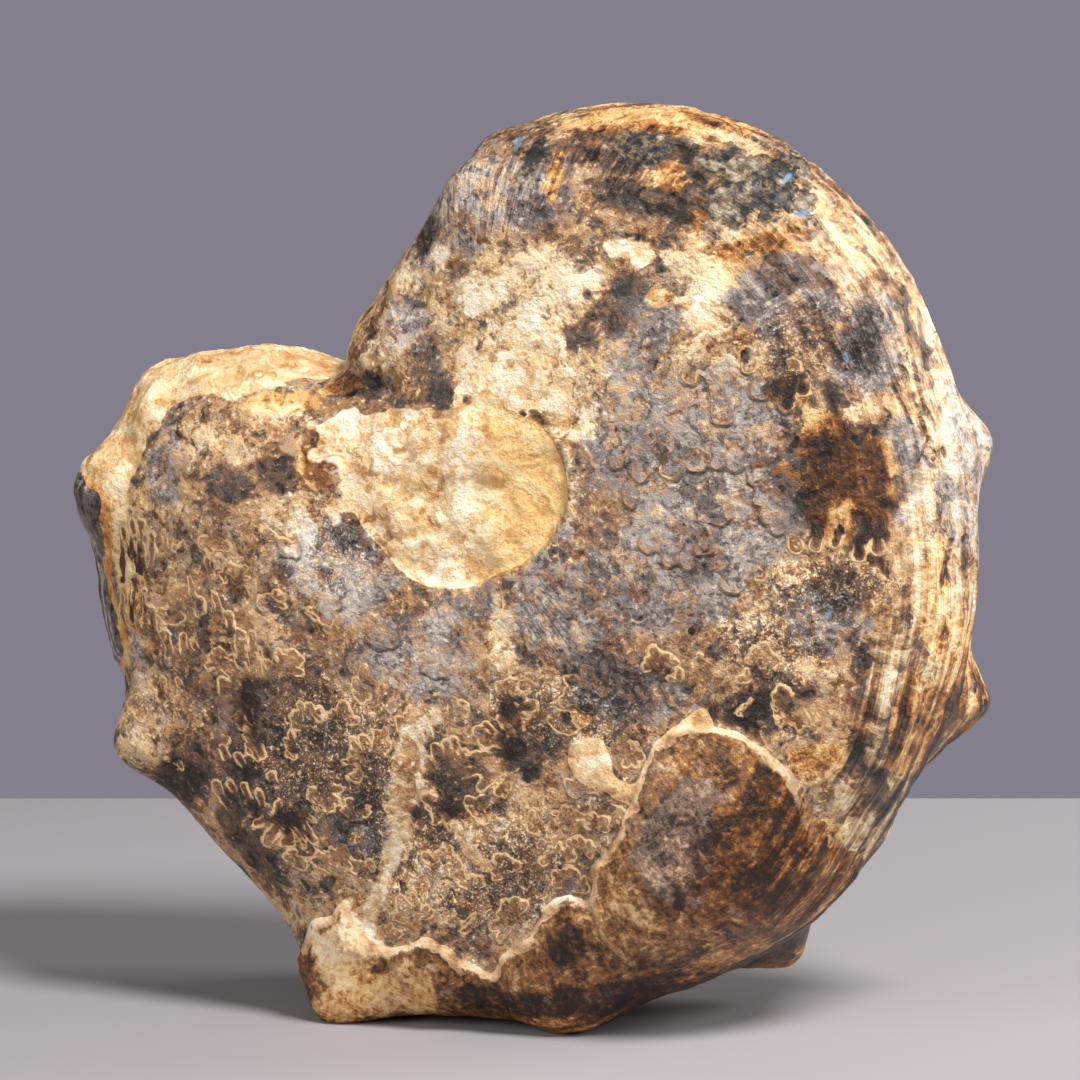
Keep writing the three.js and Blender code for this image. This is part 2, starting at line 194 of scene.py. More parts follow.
# Soft patches on the flanks, as ovals: place, half width, half height, lean in degrees, and how pale they
# are, from 0 to 1. A few are painted highlight or painted shade, as marked beside them.
PATCHES = (
    (8, 120, 17, 14, 0, 0.54), (6, 130, 10, 4, 0, 0.66), (5, 118, 9, 6, 0, 0.74), (7, 111, 7, 5, 0, 0.73),
    (12, 107, 4, 7, 15, 0.74), (16, 101, 3, 8, -12, 0.7), (14, 127, 6, 4, 10, 0.72),
    (24, 131.5, 6.5, 2, -8, 0.84), (31, 130, 5, 4, 0, 0.58), (2, 134, 6, 4, 0, 0.5), (-2, 125, 6, 4, 0, 0.74),
    (-22, 114, 6, 4, 40, 0.66), (-19, 119, 4, 6, -20, 0.58), (-17, 126.5, 4, 2, 0, 0.7),
    (-10, 124, 5, 4, 0, 0.5), (-12, 113, 3.6, 6, 0, 0.26), (-9, 108, 3, 4, 0, 0.2), (-4, 112, 4, 6, 0, 0.7),
    (-6, 120, 4, 3, 0, 0.46), (-26, 109.5, 7, 3, 0, 0.1), (35, 127, 6, 5, 0, 0.7), (37, 121, 5, 5, 0, 0.78),
    (34, 116, 5, 4, 0, 0.6), (41, 113, 7, 3, 0, 0.6), (58, 131, 9, 6, -40, 0.54), (63, 122, 5, 7, 0, 0.36),
    (23, 125, 4, 3.4, 0, 0.18), (21, 121, 4, 4, 0, 0.26), (15.5, 117.5, 4, 3, 0, 0.2),
    (27, 119, 5, 5.5, 0, 0.4), (26, 113, 3.4, 4, 0, 0.38), (18, 112, 4, 3, 0, 0.56), (45, 123, 7, 6, 0, 0.36),
    (52, 119, 8, 6, 0, 0.27), (60, 116, 5, 6, 0, 0.21), (50, 128, 8, 4, 0, 0.3), (50, 114, 6, 4, 0, 0.3),
    (60, 96, 15, 14, 0, 0.29), (57, 108, 2.2, 5, 0, 0.16), (61, 106, 4, 3, 0, 0.62), (58, 95, 12, 10, 0, 0),
    (62, 90, 6, 10, 0, 0.05), (50, 96, 5, 5, 0, 0.2), (58.5, 88, 2.4, 3.4, 0, 0.4), (68, 100, 3, 11, 0, 0.34),
    (68, 84, 3.4, 6, 0, 0.52), (72, 90, 3.4, 9, 0, 0.66), (22, 91, 5, 8, 0, 0.36),
    # (15.5, 94) is a painted highlight on the umbilicus's right rim.
    (15.5, 94, 2, 5, -12, 0.78), (18, 95, 4, 7, 0, 0.36), (26, 143, 13, 8, 0, 0.14), (32, 139, 7, 4, 0, 0.15),
    (24, 143.5, 5, 2, 0, 0.36), (27, 135, 4, 3, 0, 0.35), (38, 134, 7, 2, 0, 0.56), (18, 149, 13, 4, 0, 0.2),
    (9, 147, 4, 5, 0, 0.24), (-5, 141, 5, 8, 0, 0.5), (8, 139, 8, 7, 0, 0.34), (-14, 134, 3.4, 4, -30, 0.16),
    (-11, 131, 2, 3, 0, 0.8), (1, 150, 4, 3, 0, 0.26), (45, 133, 9, 2.2, 12, 0.24),
    (-45, 92, 6, 4, -30, 0.24), (-37, 94, 5, 4, 0, 0.16), (-29, 97, 4, 6, 0, 0.12),
    (-26, 101, 3.4, 5, 0, 0.16), (-44, 100, 7, 4, 0, 0.5), (-51, 100, 5, 4, 0, 0.58),
    (-38, 104, 7, 2.4, 0, 0.6), (-36, 87, 5, 4.4, 0, 0.56), (-32, 83, 3.2, 7, 10, 0.76),
    (-46, 84, 6, 5, 0, 0.44), (-46, 79, 5, 3.4, 0, 0.56), (-27, 75, 9, 6, 0, 0.58), (-24, 86, 4, 5, 0, 0.28),
    (-8, 70, 5, 3.4, 0, 0.56), (-12, 62, 10, 6, 0, 0.5), (-63, 58, 4, 9, 0, 0.5), (-62, 46, 6, 4, 0, 0.54),
    (-56, 41, 9, 5, 20, 0.12), (-50, 66, 12, 16, 0, 0.36), (-36, 47, 17, 18, 0, 0.195),
    (-8, 42, 12, 10, 0, 0.165), (8, 52, 9, 8, 0, 0.19), (-20, 36, 12, 12, 0, 0.18), (8, 28, 14, 8, 0, 0.3),
    (22, 60, 10, 7, 0, 0.2), (0, 60, 6, 5, 0, 0.4), (45, 57, 8, 4, 0, 0.08), (50, 61, 6, 3, 0, 0.12),
    # (55, 64) is a painted highlight.
    (62, 69, 6, 5, 0, 0.38), (55, 64, 5, 2.6, 0, 0.5), (50, 69, 6, 5, 0, 0.36), (42, 75, 9, 6, 0, 0.5),
    (59, 76, 6, 5, 0, 0.16), (52, 82, 4, 5, 0, 0.45), (40, 104, 12, 10, 0, 0.45), (40, 90, 9, 11, 0, 0.5),
    (28, 82, 10, 9, 0, 0.46), (30, 73, 10, 6, 0, 0.4), (12, 72, 8, 9, 0, 0.44), (36, 65, 8, 5, 0, 0.38),
    (3, 69, 2.6, 9, 10, 0.64), (75, 112, 8, 24, 0, 0.68), (76, 84, 5, 14, 0, 0.54),
    (69, 50, 9, 16, -20, 0.13), (44, 152, 22, 4, -14, 0.26), (-43, 32, 14, 5, -62, 0.2),
    # the shell
    (30, 38, 5, 9, 0, 0.42), (36, 43, 8, 7, 0, 0.37), (41, 34, 6, 7, -20, 0.22), (44, 28, 7, 6, 0, 0.16),
    # (28, 25) here and (31, 30) two lines down are pale fibres on the dome, painted brighter as highlight.
    (47, 43, 4, 6, 0, 0.23), (50, 37, 4.5, 5, 0, 0.25), (37, 26, 4, 4, 0, 0.26), (28, 25, 3, 7, 20, 0.66),
    (24, 27, 2, 4, 0, 0.6), (35, 51.5, 4, 1.4, 0, 0.6), (45, 47, 1.4, 4, 20, 0.58),
    (34, 36, 1.8, 2.2, 0, 0.58), (33, 48, 2.4, 2, 20, 0.56), (31, 30, 2, 5, 15, 0.52), (20, 22, 3, 5, 0, 0.5),
    # (-1, 7) here and (10, 7) on the next line are painted shade below the bulges.
    (14.8, 18, 5, 4.6, 0, 0.1), (5.8, 13, 3, 3, 0, 0.36), (-6, 12, 6, 3.4, 0, 0.44), (-1, 7, 7, 3.4, 0, 0.13),
    (10, 7, 8, 3, 6, 0.08), (-8.6, 7, 3, 5.4, 10, 0.4), (-12, 8, 3.4, 5, 0, 0.62), (-16, 7, 5, 6, 0, 0.7),
    (-25, 12, 7, 10, 0, 0.9), (-29, 14, 3, 4, 30, 0.98), (-22, 9, 3, 4, 0, 0.7), (-21, 6, 6, 5, 0, 0.76),
    (-33.5, 9, 3.4, 9, 0, 0.3), (-28, 3, 6, 3, 0, 0.66), (24, 9, 20, 4, 12, 0.1), (46, 14, 16, 5, 24, 0.1),
    (39, 14.8, 9, 2, 26, 0.5), (21, 14, 3, 3, 0, 0.34), (0, 1, 17, 1.8, 0, 0.52),
    # the orange stain beside the shell, and the bright stone by the slab
    (55.3, 49.4, 5, 3, 15, 0.34), (-66.5, 80, 3, 12, 0, 0.64),
)
# Other soft patches, as place, half width, half height and lean. In the silky ones fibres follow the coil,
# and in the speckled ones pale specks are denser and fine crystals show as painted glints.
ZONES = {
    "cool": (
        (-4, 141, 9, 10, 0), (6, 141, 8, 8, 0), (-13, 134, 5, 6, 0), (-18, 120, 5, 6, 0),
        (38, 104, 15, 10, 0), (42, 92, 13, 13, 0), (30, 80, 16, 13, 0), (14, 72, 11, 11, 0),
        (-12, 65, 11, 9, 0), (-4, 74, 8, 5, 0), (48, 124, 10, 7, 0), (61, 116, 6, 9, 0), (26, 119, 6, 6, 0),
        (-58, 95, 4, 8, 0), (-26, 78, 12, 9, 0), (-65, 62, 3, 6, 0), (78, 95, 5, 18, 0), (68, 97, 4, 9, 0),
        (56, 71, 9, 6, 0), (34, 35, 7, 11, -15), (24, 112, 5, 7, 0), (23, 98, 8, 7, 0), (24, 60, 12, 7, 0),
        (-24, 34, 6, 4, 0), (-46, 52, 5, 4, 0), (78, 112, 7, 26, 0),
    ),
    "amber": (
        (59, 95, 9.4, 9, 0), (41, 29, 9, 8, -40), (56, 49, 5.5, 3.6, 15), (48, 43, 3, 5, 0),
        (52, 33, 8, 8, 30), (34, 154, 34, 4, 0), (29, 144, 3, 3, 0), (-66, 79, 4.4, 15, 6),
        (39, 129, 1.8, 4, 0), (44, 133, 9, 2.4, 12), (-5, 37, 4, 3, 0), (4, 50, 4, 2.4, 0),
        (-30, 96, 4, 5, 0), (57, 86, 4, 4, 0), (62, 83, 2, 3, 0), (0, 1, 18, 2.6, 0), (-28, 2, 6, 3, 0),
        (-13, 7, 5, 5, 0), (-24, 8, 8, 7, 0), (39, 14.8, 9, 2.4, 26), (40, 31, 7, 8, -20),
        (42, 116, 1.6, 3, 0), (-38, 106, 8, 2, 0), (71, 54, 5, 12, -15), (75, 66, 3, 8, 0),
        (-29, 109, 5, 2, 10), (2, 112, 5, 3, 0), (50, 109, 4, 3, 0), (73, 73, 2.4, 12, 0), (-35, 34, 5, 3, 0),
        (-42, 54, 2, 6, 0), (6, 55, 3, 4, 0), (55, 104, 5, 4, 0), (9, 143, 1.4, 5, 0), (34, 137, 1.6, 5, 0),
        (10, 115, 3, 4, 0), (28, 124, 2, 1.6, 0), (16, 55, 3, 2, 0),
    ),
    "silk": (
        (-2, 141, 12, 9, 0), (28, 147, 26, 6, 0), (50, 123, 9, 4, 0), (11, 70, 4, 8, 0),
    ),
    "speckle": (
        (60, 116, 7, 9, 0), (50, 115, 7, 6, 0), (57, 77, 12, 7, 0), (53, 119, 9, 7, 0), (-27, 80, 9, 8, 0),
        (-4, 30, 22, 14, 0), (-24, 46, 20, 16, 0), (14, 56, 14, 8, 0), (48, 68, 12, 7, 0),
    ),
    "chalk": (
        (6, 115, 8, 8, 0), (12, 108, 4, 8, 15), (5, 107, 9, 4, 0), (-3, 108, 5, 5, 0),
        (24, 131.5, 7, 2.4, -8), (-3, 123, 4, 3, 0), (15, 126, 4, 3, 0), (36, 121, 3, 4, 0),
    ),
    "mineral": (
        (41.5, 141.5, 7, 4.6, 10), (46, 145, 3.4, 2.4, -40), (36, 147, 3, 2, 15), (23, 149, 4, 2.4, 0),
        (5, 148, 2, 3, 0),
    ),
    "blue": (
        (1.2, 150.1, 1.2, 1.6, 0), (49.7, 137.6, 1.2, 0.6, 0), (47, 144.1, 0.7, 1, 0), (54.3, 130, 1, 0.6, 0),
        (58.5, 114.9, 0.7, 2.2, 0), (57.3, 72.8, 0.7, 1.6, 0),
    ),
}
# Where small fronds fill the gaps between the others.
FRILLED = ((-42, 60, 22, 26, 0), (-5, 38, 34, 24, 0), (10, 56, 24, 8, 0), (50, 60, 8, 6, 0))
SHARP_ZONES = ("blue", "mineral")  # zones that keep their edges
PLAIN_TONE = 0.42  # how pale the stone is between the patches

# Noises over the skin: size, octaves, seed and strength.
DRIFT, SWAY = (3.2, 3, 1.7, 0.35), (3.4, 2, 6.1, 0.5)  # they bend the sutures and the finishes' edges
TORN, SHRED = (7, 4, 4.4, 1), (2.4, 3, 8.1, 1)  # they tear the patches' edges
CLOUDY = (16, 3, 5.9, 0.1)
FAR_SHIFTS = ((30, 2, 2.2, 7), (30, 2, 7.4, 7))  # they keep the far flank from mirroring the near one
LUMPS = ((26, 3, 3.3, 0.5), (8, 3, 9.4, 0.26), (2.6, 2, 6.6, 0.1))
MATRIX_LUMPS, CRUST_LUMPS = (6, 4, 2.2, 0.8), (8, 5, 7.7, 1.2)
RIDGES = (1, 2, 4.4, 0.8)
RIDGE_STRETCH = (0.035, 0.36, 0)  # along the coil and across it
PITS = (4.5, 2, 8.8, 1)

# Heights of the relief.
SHELL_STEP, SHELL_EDGE, SEAM_RISE = 0.8, 0.35, 0.4
DISH, DISH_RIGHT, DISH_RIM = 0.4, 1.7, 0.6  # the umbilicus all over, more on its right, and around it
CRUST_STEP, PLASTER_STEP, SLAB_STEP, LIP_RISE = 0.1, 0.35, 0.8, 0.7
GROOVE_DEPTH, KEEL_GROOVE_DEPTH, PIT_DEPTH = 1.7, 0.35, 0.35
# Bulges of the shell: place, half width and height.
BULGES = (
    (37, 41, 11, 1.3), (-8, 10, 6, 1.4), (15, 17, 6, 1.6), (4, 12, 4, 1), (-25, 16, 4, 1.2), (28, 27, 8, 1),
)
# Raised corners beside the notch: place, height and half width.
CORNERS = (((-8, -2, 151), 1.8, 5), ((-28, 0, 119), 2.2, 8))
BANDED = (-34, 66)  # the angles between which the keel is ridged
BAND_FADE = 16  # how many degrees it takes to fade
BAND_REACH = (20, 13)  # the distances from the coiling plane where the bands end and where they are full
BAND_HEIGHTS = (88, 68)  # they are half as strong above the first and full below the second
BAND_MIDDLE = (-2, 68)  # where those angles are measured from
BAND_PATCH = (66, 54, 8, 18, -14)  # where the bands reach onto the near flank


def smooth_through(knots, values, where):
    """A smooth curve through points, read at many places at once."""
    knots, values = np.asarray(knots, float), np.asarray(values, float)
    slopes = np.gradient(values, knots)
    i = np.clip(np.searchsorted(knots, where) - 1, 0, len(knots) - 2)
    span = knots[i + 1] - knots[i]
    t = (where - knots[i]) / span
    rise = t * t * (3 - 2 * t)
    lean = slopes[i] * (1 - t) - slopes[i + 1] * t
    return values[i] * (1 - rise) + values[i + 1] * rise + t * (1 - t) * span * lean


def rounded(corners, steps=5):
    """A closed outline with its corners rounded."""
    count = len(corners)
    laps = np.array(corners * 3, float)
    knots = np.arange(len(laps))
    where = count + np.arange(count * steps) / steps
    return [tuple(place) for place in zip(*(smooth_through(knots, part, where) for part in laps.T))]


def smoothstep(low, high, value):
    t = np.clip((value - low) / (high - low), 0, 1)
    return t * t * (3 - 2 * t)


def bell(distance, width):
    return np.exp(-((distance / width) ** 2))


def line_distance(corners, x, z):
    """How far each point is from the line through the corners."""
    nearest = np.full(len(x), np.inf)
    for (x0, z0), (x1, z1) in zip(corners, corners[1:]):
        along_x, along_z = x1 - x0, z1 - z0
        share = np.clip(((x - x0) * along_x + (z - z0) * along_z) / (along_x**2 + along_z**2), 0, 1)
        nearest = np.minimum(nearest, np.hypot(x - x0 - share * along_x, z - z0 - share * along_z))
    return nearest


def inside_by(corners, x, z):
    """How far each point lies inside a closed outline, and below zero outside it."""
    corners = rounded(corners)
    ring = corners + corners[:1]
    crossings = np.zeros(len(x), int)
    for (x0, z0), (x1, z1) in zip(ring, ring[1:]):
        spans = (z0 > z) != (z1 > z)
        crossings += spans & (x < x0 + (z - z0) * (x1 - x0) / ((z1 - z0) or 1))
    return np.where(crossings % 2, 1, -1) * line_distance(ring, x, z)


def oval_share(oval, x, z):
    """1 at an oval's middle, 0 on its edge and below zero outside it."""
    at_x, at_z, wide, tall, lean = oval
    turn = math.radians(lean)
    off_x, off_z = x - at_x, z - at_z
    along = off_x * math.cos(turn) + off_z * math.sin(turn)
    across = off_z * math.cos(turn) - off_x * math.sin(turn)
    return 1 - np.hypot(along / wide, across / tall)


def ragged_share(oval, x, z, torn, shred):
    """An oval's share with its edge torn, finely where the oval is small."""
    return oval_share(oval, x, z) + 0.3 * torn + shred * min(1.1 / min(oval[2], oval[3]), 0.6)


def fractal(places, size, octaves, seed, strength):
    """Cloudy noise at many places, from about -1 to 1 times its strength."""
    at = (places / size + seed).tolist()
    return strength * np.array([noise.fractal(p, 1.0, 2.0, octaves) for p in at])


def frond_fingers(frond, dice):
    """The lobes that fan out of a frond, each as both ends of its middle and half its width."""
    x, z, reach, bearing, spread = frond
    wide = min(0.85, 0.27 * reach)
    count = max(2, round(math.radians(spread) * reach / (2.1 * wide)))
    made = [(x, z, x, z, reach * 0.5)]
    for i in range(count + 1):
        turn = math.radians(bearing + spread * (i / count - 0.5) + dice.uniform(-8, 8))
        far = reach * dice.uniform(0.78, 1.16) - wide
        end = x + far * math.cos(turn), z + far * math.sin(turn)
        made.append((x, z, *end, wide * dice.uniform(0.85, 1.15)))
    return made


def scattered(fronds, reaches, share, dice, ovals=None):
    """Fronds for the gaps that others leave, the widest ones first, inside the ovals if there are any."""
    made = list(fronds)
    for reach in reaches:
        pitch = 1.7 * reach
        for i in range(round(160 / pitch)):
            for j in range(round(150 / pitch)):
                x, z = (i + dice.random()) * pitch - 80, (j + dice.random()) * pitch + 6
                bearing = dice.choice((80, 100, 250, 280)) + dice.uniform(-45, 45)
                new = (x, z, reach * dice.uniform(0.85, 1.1), bearing, dice.uniform(90, 160))
                wanted = dice.random() < share and (not ovals or max(oval_share(o, x, z) for o in ovals) > 0)
                if wanted and all(math.hypot(x - f[0], z - f[1]) > f[2] * 0.95 + reach for f in made):
                    made.append(new)
    return made[len(fronds):]


def finger_depth(fingers, x, z):
    """How far each point lies inside the lobes, below zero outside them, and how near their tips it is."""
    depth, tip = np.full(len(x), -4.0), np.zeros(len(x))
    for x0, z0, x1, z1, wide in fingers:
        mid_x, mid_z, half = (x0 + x1) / 2, (z0 + z1) / 2, math.hypot(x1 - x0, z1 - z0) / 2 + wide + 4
        near = np.flatnonzero((np.abs(x - mid_x) < half) & (np.abs(z - mid_z) < half))
        off_x, off_z = x[near] - x0, z[near] - z0
        along_x, along_z = x1 - x0, z1 - z0
        share = np.clip((off_x * along_x + off_z * along_z) / (along_x**2 + along_z**2 or 1), 0, 1)
        away = np.hypot(off_x - share * along_x, off_z - share * along_z)
        inside = wide * (0.75 + 0.25 * share) - away
        deeper = inside > depth[near]
        depth[near[deeper]], tip[near[deeper]] = inside[deeper], share[deeper]
    return depth, tip


def suture_lobes():
    """The sutures' lobes on the near flank and on the far one."""
    dice = random.Random(11)
    given = [(x0, z0, wide, 0, 0) for x0, z0, x1, z1, wide in FINGERS]
    near = [*FRONDS, *scattered([*FRONDS, *given], (3.2, 2.4), 0.5, dice, FRILLED)]
    behind = scattered([], (8, 5.4, 3.6, 2.6), 0.8, dice)
    return (
        [*FINGERS, *(lobe for frond in near for lobe in frond_fingers(frond, dice))],
        [lobe for frond in behind for lobe in frond_fingers(frond, dice)],
    )


def suture_fields(x, z, y):
    """How far inside the sutures' lobes each point lies, how near their tips, and where it lies just below a
    lobe's lower edge, for painted shade there.
    """
    near, far = suture_lobes()
    here, above = ([finger_depth(lobes, x, z + up) for lobes in (near, far)] for up in (0, 0.4))
    depth, tip = (np.where(y > 0, behind, front) for front, behind in zip(*here))
    # Points just below a lobe's lower edge, where the depth a little higher up is greater, get painted shade.
    higher = np.where(y > 0, above[1][0], above[0][0])
    keel = 5 * smoothstep(4, 1, np.abs(y))
    return {"suture": depth - keel, "tip": tip, "under": smoothstep(-0.1, 0.3, higher - depth)}


class Coil:
    """The fossil's form, in millimetres, for the points of a ball's skin."""

    def __init__(self, sizes):
        self.thickness = sizes.half_thickness / MM
        self.radius = sizes.mean_radius / MM
        reach, height = np.array(SECTION, float).T
        steps = np.arange(len(reach))
        fine = np.linspace(0, len(reach) - 1, 800)
        self.reach = smooth_through(steps, reach, fine)
        self.height = smooth_through(steps, height, fine)
        run = np.hypot(np.diff(self.reach) * self.radius, np.diff(self.height) * self.thickness)
        self.run = np.append(0, np.cumsum(run)) / run.sum()
        laps = [(at + lap, radius) for lap in (-360, 0, 360) for at, radius in OUTLINE]
        self.knots, self.radii = zip(*laps)

    def half_thickness(self, x, z):
        return self.thickness + TAPER[0] * x + TAPER[1] * z

    def point(self, angle, along, side):
        reach = np.interp(along, self.run, self.reach)
        height = np.interp(along, self.run, self.height)
        outline = smooth_through(self.knots, self.radii, angle % 360)
        radius = reach * (self.radius + (outline - self.radius) * reach)
        x, z = radius * np.cos(np.radians(angle)), radius * np.sin(np.radians(angle))
        return np.stack([x, side * height * self.half_thickness(x, z), z], axis=-1)

    def tubercles(self):
        for side, at, along, height, width in TUBERCLES:
            turn = math.radians(at)
            way = np.array([math.cos(turn), TUBERCLE_LEAN * side, math.sin(turn)])
            centre = self.point(np.array([at]), np.array([along]), side)[0]
            yield centre, way / np.linalg.norm(way) * height, width

    def swells(self):
        for side, x, z, height, width in SWELLS:
            yield np.array([x, side * self.half_thickness(x, z), z]), np.array([0, side * height, 0]), width

    def skin(self, ball):
        angle = np.degrees(np.arctan2(ball[:, 2], ball[:, 0]))
        along = np.arccos(np.clip(np.abs(ball[:, 1]), 0, 1)) / (math.pi / 2)
        plain = self.point(angle, along, np.sign(ball[:, 1]))
        made = plain.copy()
        for centre, push, width in [*self.tubercles(), *self.swells()]:
            made += bell(np.linalg.norm(plain - centre, axis=1), width)[:, None] * push
        return made

    def unrolled(self, places, shift):
        """Places along the coil and across it, from the near flank over the keel to the far one."""
        rim = self.point(np.arange(360.0), np.ones(360), NEAR) + shift
        rim_x, rim_z = rim[:, 0] - COIL_AXIS[0], rim[:, 2] - COIL_AXIS[1]
        x, y, z = places[:, 0] - COIL_AXIS[0], places[:, 1], places[:, 2] - COIL_AXIS[1]
        radius = np.maximum(np.hypot(x, z), 4)
        turn = np.arctan2(z, x)
        keel = np.interp(turn, np.arctan2(rim_z, rim_x), np.hypot(rim_x, rim_z), period=2 * math.pi)
        along = np.radians((np.degrees(turn) - COIL_SEAM) % 360)
        across = np.where(y < 0, 1, -1) * np.log(radius / keel) + (self.thickness + y) / radius
        return np.stack([along, across, 0 * along], axis=-1) * COIL_SCALE


def tone_field(x, z, torn, shred, cloudy):
    """How pale each point is, from 0 to 1: soft patches over cloudy stone."""
    field = PLAIN_TONE + cloudy
    for *oval, pale in PATCHES:
        share = ragged_share(oval, x, z, torn, shred)
        field += smoothstep(0, 0.4, share) * (pale - field)
    return field + 0.05 * torn


def keel_field(x, z, y, torn):
    """Where the keel is banded, from 0 to 1: along its edge, and most between two angles."""
    bearing = np.degrees(np.arctan2(z - BAND_MIDDLE[1], x - BAND_MIDDLE[0]))
    low, high = BANDED
    ridged = smoothstep(low - BAND_FADE, low, bearing) * smoothstep(high + BAND_FADE, high, bearing)
    edge = smoothstep(*BAND_REACH, np.abs(y) + 2.5 * torn)
    edge += smoothstep(-0.2, 0.6, oval_share(BAND_PATCH, x, z))
    low_down = smoothstep(*BAND_HEIGHTS, z)
    return np.clip(edge, 0, 1) * (0.12 + 0.88 * ridged) * (0.5 + 0.5 * low_down)


def edge_fields(x, z, y, torn, drift):
    """How far inside each outlined finish a point lies, in millimetres."""
    side = smoothstep(-2, 2, y)
    beyond = 30 * side  # keeps a finish off the far flank
    hollow = inside_by(UMBILICUS, x, z)
    behind = 15 * oval_share(FAR_UMBILICUS, x, z)
    hollow = hollow + (side > 0.5) * (behind - hollow)
    melted = np.maximum(smoothstep(100, 106, z) * smoothstep(10, 2, x), smoothstep(-19, -26, x))
    shell = inside_by(SHELL, x, z) + drift * 0.5
    slab = (inside_by(SLAB, x, z) + 1.5 * torn) * (1 - 0.75 * smoothstep(-6, 2, y))
    return {
        "fill": hollow * (1 - 0.8 * melted) + drift * 0.4 + torn * melted,
        "shell": shell * (1 - 0.8 * smoothstep(48, 56, x + 3 * torn)),
        "crust": inside_by(CRUST, x, z) + drift * 2,
        "plaster": np.maximum(inside_by(PLASTER, x, z), inside_by(GABLE, x, z)) - beyond,
        "slab": slab - 8 * smoothstep(-5, 9, y + 7 * torn),
        "vein": 1 - np.min([line_distance(line, x, z) / wide for line, wide in VEINS], axis=0) - beyond,
        "seam": np.min([line_distance(seam, x, z) for seam in SEAMS], axis=0) + beyond,
        "groove": np.min([line_distance(groove, x, z) for groove in GROOVES], axis=0) + beyond,
    }


def fields_of(places):
    """Which finish each point of the skin has: distances in millimetres, or shares from 0 to 1."""
    y = places[:, 1]
    side = smoothstep(-2, 2, y)
    shift_x, shift_z = (side * fractal(places, *shift) for shift in FAR_SHIFTS)
    x, z = places[:, 0] + shift_x, places[:, 2] + shift_z
    drift, sway, torn, shred, cloudy = (fractal(places, *kind) for kind in (DRIFT, SWAY, TORN, SHRED, CLOUDY))
    fields = {**edge_fields(x, z, y, torn, drift), **suture_fields(x + sway, z + drift, y)}
    for name, ovals in ZONES.items():
        share = np.max([ragged_share(oval, x, z, torn, shred) for oval in ovals], axis=0)
        fields[name] = share if name in SHARP_ZONES else smoothstep(-0.15, 0.5, share)
    fields["tone"] = tone_field(x, z, torn, shred, cloudy)
    fields["band"] = keel_field(x, z, y, torn)
    fields["lip"] = smoothstep(56, 48, x) * (1 - 0.8 * side)
    fields["rich"] = smoothstep(-10, 6, x + 5 * torn)
    fields["rough"] = smoothstep(42, 49, x + 3 * torn) + smoothstep(8, 3, z + 3 * torn) * smoothstep(-6, 6, x)
    return fields


def shell_relief(places, f):
    """The shell's step, its rounded edge, its seams and its bulges."""
    x, y, z = places.T
    height = smoothstep(-0.3, 1.2, f["shell"]) * SHELL_STEP
    height += bell(f["shell"] - 0.8, 0.8) * SHELL_EDGE * f["lip"] + SEAM_RISE * bell(f["seam"], 0.9)
    on_shell = smoothstep(2, -2, y) * smoothstep(-0.5, 3, f["shell"])
    for at_x, at_z, width, rise in BULGES:
        height += on_shell * rise * bell(np.hypot(x - at_x, z - at_z), width)
    return height


def matrix_relief(places, f):
    """The dished and lumpy matrix, the crust on the broken end and the plaster-like fillings."""
    x, z = places[:, 0], places[:, 2]
    dish = (DISH + DISH_RIGHT * smoothstep(-22, 2, x)) * (1 - 0.9 * smoothstep(90, 104, z))
    height = -dish * smoothstep(-0.5, 0.8, f["fill"]) - DISH_RIM * bell(f["fill"] + 1, 5)
    height += smoothstep(0, 2, f["fill"]) * fractal(places, *MATRIX_LUMPS)
    height += smoothstep(-0.5, 2, f["crust"]) * (CRUST_STEP + fractal(places, *CRUST_LUMPS))
    return height + PLASTER_STEP * smoothstep(-0.3, 0.6, f["plaster"])


def line_relief(places, f):
    """The grooves, the lip and the slab, and the corners beside the notch."""
    x, y, z = places.T
    height = -GROOVE_DEPTH * bell(line_distance(GROOVE, x, z), 2.2)
    height -= KEEL_GROOVE_DEPTH * bell(f["groove"], 0.7)
    height += LIP_RISE * smoothstep(2, -2, y) * bell(line_distance(LIP, x, z), 1.1)
    height += SLAB_STEP * smoothstep(-0.3, 0.8, f["slab"])
    for corner, rise, width in CORNERS:
        height += rise * bell(np.linalg.norm(places - corner, axis=1), width)
    return height


def relief(places, f, coil):
    """How far each point of the skin stands off the plain form."""
    lumps = sum(fractal(places, *lump) for lump in LUMPS)
    ridges = f["band"] * fractal(coil * RIDGE_STRETCH, *RIDGES)
    pits = -PIT_DEPTH * smoothstep(0.1, 0.6, fractal(places, *PITS)) * smoothstep(1, 0, f["shell"])
    return lumps + ridges + pits + shell_relief(places, f) + matrix_relief(places, f) + line_relief(places, f)


def ball_skin(cuts):
    """A cube with its sides cut into squares, whose corners are spread evenly over a ball."""
    shape = bmesh.new()
    bmesh.ops.create_cube(shape, size=2)
    bmesh.ops.subdivide_edges(shape, edges=shape.edges[:], cuts=cuts, use_grid_fill=True)
    mesh = bpy.data.meshes.new("ammonite_fossil")
    shape.to_mesh(mesh)
    shape.free()
    cube = np.empty(len(mesh.vertices) * 3)
    mesh.vertices.foreach_get("co", cube)
    ball = np.tan(cube.reshape(-1, 3) * math.pi / 4)
    return mesh, ball / np.linalg.norm(ball, axis=1)[:, None]


def set_places(mesh, places):
    mesh.vertices.foreach_set("co", (places * MM).ravel())
    mesh.update()


def normals(mesh):
    ways = np.empty(len(mesh.vertices) * 3)
    mesh.vertex_normals.foreach_get("vector", ways)
    return ways.reshape(-1, 3)


